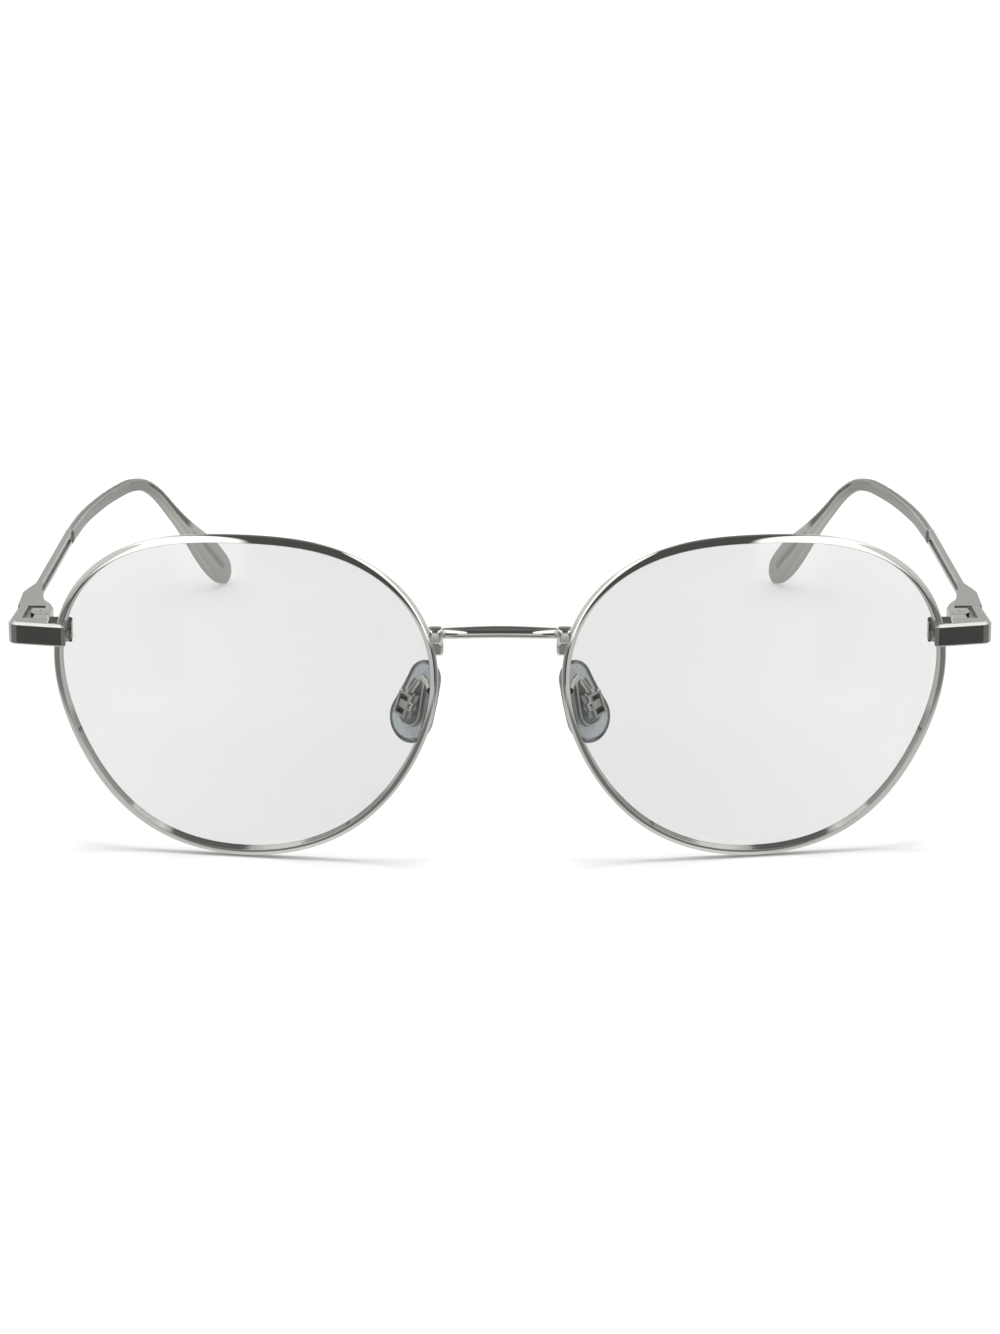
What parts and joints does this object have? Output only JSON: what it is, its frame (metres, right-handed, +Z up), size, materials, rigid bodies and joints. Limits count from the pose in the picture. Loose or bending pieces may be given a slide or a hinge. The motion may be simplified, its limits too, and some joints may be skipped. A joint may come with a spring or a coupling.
{
  "type": "spectacle frame with lenses",
  "caption": "Round full-rim wire spectacles with a bar bridge, adjustable nose pads on bent wire arms, hinged slim temples and down-turned paddle temple tips.",
  "frame": {"origin": "centre of the bounding box in plan, on the table the open spectacles stand on", "axes": "+X towards the wearer's left, +Y from the lenses back towards the ears, +Z up; the front faces -Y"},
  "size_m": [0.135, 0.1358, 0.0468],
  "materials": {
    "polished_wire": "polished dark nickel plate",
    "satin_metal": "semi-gloss olive grey lacquer",
    "bright_steel": "bright stainless steel",
    "tip_plastic": "polished acetate sleeve",
    "pad_silicone": "clear silicone, slightly milky",
    "lens_plastic": "clear plano demonstration lens"
  },
  "bodies": {
    "front": {"eyewire_right": "polished_wire", "eyewire_left": "polished_wire", "lens_right": "lens_plastic", "lens_left": "lens_plastic", "bridge": "polished_wire", "bridge_foot_right": "polished_wire", "bridge_foot_left": "polished_wire", "endpiece_right": "satin_metal", "endpiece_left": "satin_metal", "rim_lock_upper_right": "bright_steel", "rim_lock_upper_left": "bright_steel", "rim_lock_lower_right": "bright_steel", "rim_lock_lower_left": "bright_steel", "closing_screws": "bright_steel", "hinge_front_right": "bright_steel", "hinge_front_left": "bright_steel", "hinge_screws": "bright_steel", "pad_arm_right": "polished_wire", "pad_arm_left": "polished_wire", "pad_box_right": "bright_steel", "pad_box_left": "bright_steel", "pad_screws": "bright_steel"},
    "temple_right": {"temple_right": "satin_metal", "hinge_rear_right": "bright_steel", "temple_tip_right": "tip_plastic"},
    "temple_left": {"temple_left": "satin_metal", "hinge_rear_left": "bright_steel", "temple_tip_left": "tip_plastic"},
    "nose_pad_right": {"nose_pad_right": "pad_silicone", "pad_core_right": "bright_steel"},
    "nose_pad_left": {"nose_pad_left": "pad_silicone", "pad_core_left": "bright_steel"}
  },
  "joints": [
    {"name": "temple_right_fold", "type": "hinge", "parent": "front", "child": "temple_right", "pos_m": [-0.06359, -0.05206, 0.03059], "axis": [0, -0.0698, -0.9976], "range_deg": [0, 82]},
    {"name": "temple_left_fold", "type": "hinge", "parent": "front", "child": "temple_left", "pos_m": [0.06359, -0.05206, 0.03059], "axis": [0, 0.0698, 0.9976], "range_deg": [0, 77]},
    {"name": "nose_pad_right_rock", "type": "hinge", "parent": "front", "child": "nose_pad_right", "pos_m": [-0.01299, -0.0592, 0.02092], "axis": [-0.6762, 0.7071, 0.2067], "range_deg": [-8, 8]},
    {"name": "nose_pad_left_rock", "type": "hinge", "parent": "front", "child": "nose_pad_left", "pos_m": [0.01299, -0.0592, 0.02092], "axis": [-0.6762, -0.7071, -0.2067], "range_deg": [-8, 8]}
  ]
}
